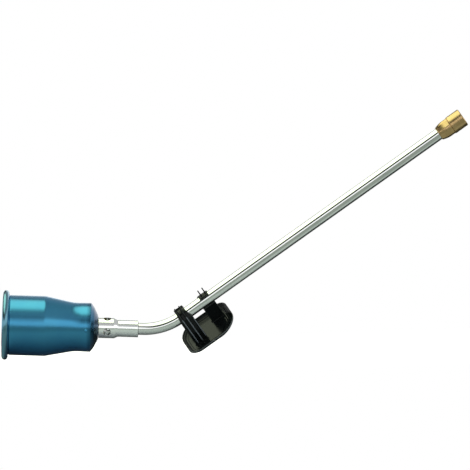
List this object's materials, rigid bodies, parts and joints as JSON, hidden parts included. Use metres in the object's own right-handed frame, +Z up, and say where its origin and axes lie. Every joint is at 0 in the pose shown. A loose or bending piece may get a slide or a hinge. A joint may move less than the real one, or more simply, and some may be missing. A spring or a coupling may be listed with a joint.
{
  "type": "propane torch",
  "caption": "Roofing torch head: titanium burner bell with air-holed socket on a bent steel neck tube, brass union nut for a handle, and a clip-on stand that turns on the tube.",
  "frame": {"origin": "Centre of the bottom of the bounding box, on the floor that the burner's rim and the lowest corner of the stand's dish touch.", "axes": "+X from the burner's mouth towards the union nut, +Z up, and +Y across the plane that the neck is bent in."},
  "size_m": [0.4746, 0.0726, 0.2342],
  "materials": {
    "anodised_titanium": "satin",
    "heat_tinted_steel": "satin",
    "satin_nickel": "satin",
    "polished_stainless": "polished",
    "zinc_plated_steel": "satin",
    "brass": "satin",
    "sintered_bronze": "matte",
    "copper": "satin",
    "black_rubber": "matte",
    "black_plastic": "gloss"
  },
  "bodies": {
    "neck": {"neck_tube": "polished_stainless", "neck_end_fitting": "zinc_plated_steel", "tube_nipple": "brass", "nipple_o_ring": "black_rubber"},
    "seal_ring": {"socket_seal": "copper"},
    "burner": {"burner_cup": "anodised_titanium", "flame_holder": "heat_tinted_steel", "mixing_tube": "heat_tinted_steel", "cup_rivet_1": "anodised_titanium", "cup_rivet_2": "anodised_titanium", "cup_rivet_3": "anodised_titanium", "burner_socket": "satin_nickel", "injector_body": "brass", "injector_jet": "satin_nickel", "jet_washer": "copper", "injector_filter": "sintered_bronze", "filter_retainer": "zinc_plated_steel"},
    "nut_ring": {"slip_ring": "zinc_plated_steel"},
    "nut": {"union_nut": "brass"},
    "foot_stand": {"stand": "black_plastic"}
  },
  "joints": [
    {"name": "burner_withdraw", "type": "slide", "parent": "neck", "child": "seal_ring", "axis": [-0.9979, 0, 0.0649], "range_m": [0, 0.008]},
    {"name": "burner_unscrew", "type": "hinge", "parent": "seal_ring", "child": "burner", "pos_m": [-0.13547, -0.00136, 0.02861], "axis": [-0.9979, 0, 0.0649], "range_deg": [0, 2880]},
    {"name": "nut_slide", "type": "slide", "parent": "neck", "child": "nut_ring", "axis": [-0.835, 0, -0.5502], "range_m": [0, 0.26]},
    {"name": "nut_spin", "type": "hinge", "parent": "nut_ring", "child": "nut", "pos_m": [0.21984, -0.00136, 0.21829], "axis": [0.835, 0, 0.5502], "continuous": true},
    {"name": "stand_swivel", "type": "hinge", "parent": "neck", "child": "foot_stand", "pos_m": [-0.04245, -0.00136, 0.04547], "axis": [0.835, 0, 0.5502], "continuous": true}
  ],
  "couplings": [
    {"joint": "burner_withdraw", "follows": "burner_unscrew", "m_per_rad": 0.00015915}
  ]
}
